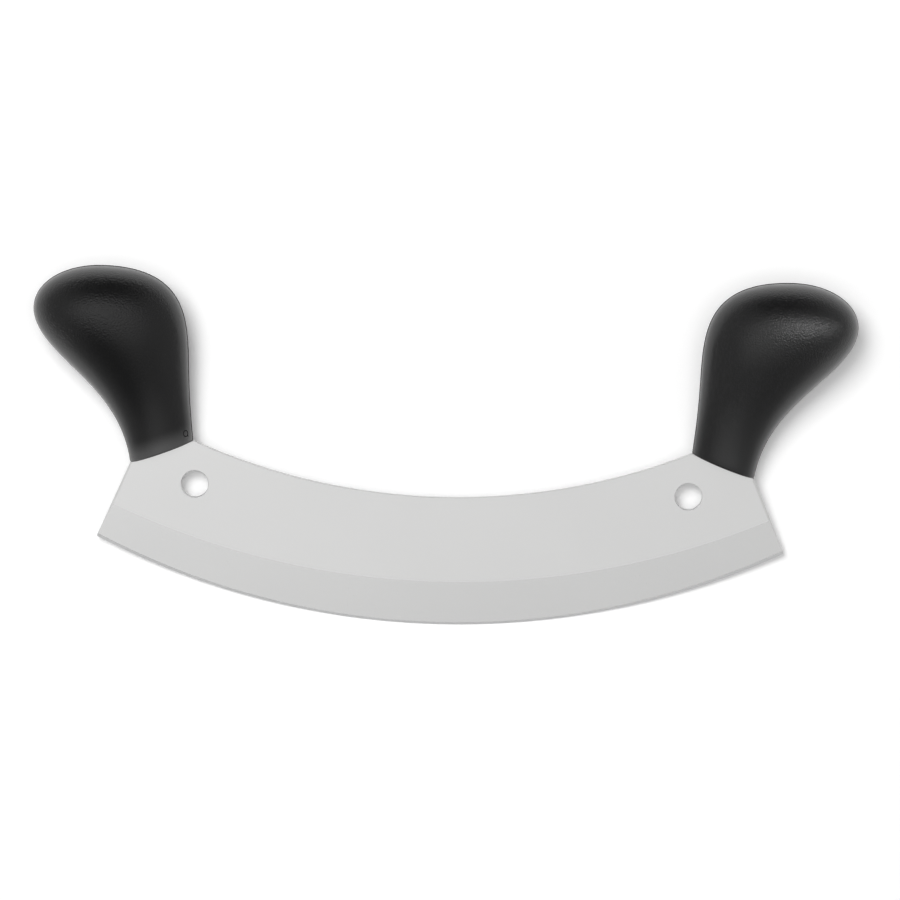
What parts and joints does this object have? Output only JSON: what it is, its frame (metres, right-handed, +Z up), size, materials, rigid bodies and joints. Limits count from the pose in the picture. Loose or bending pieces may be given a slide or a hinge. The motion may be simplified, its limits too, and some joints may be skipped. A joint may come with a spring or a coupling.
{
  "type": "mezzaluna",
  "caption": "Crescent mincing knife: a curved steel blade with an upright knob handle at each end, rocked over herbs with both hands.",
  "frame": {"origin": "middle of the knife's footprint, on the table that it lies on", "axes": "+X along the blade towards the right handle, +Y from the cutting edge to the knobs, +Z up from the table; the blade leans back from the table by about 8.5 degrees"},
  "size_m": [0.2736, 0.1168, 0.0305],
  "materials": {
    "blade_steel": "satin ground stainless steel, with a finer ground bevel along the edge",
    "handle_plastic": "black polypropylene with a fine moulded texture"
  },
  "bodies": {
    "root": {"blade": "blade_steel", "left_handle": "handle_plastic", "right_handle": "handle_plastic"}
  },
  "joints": []
}
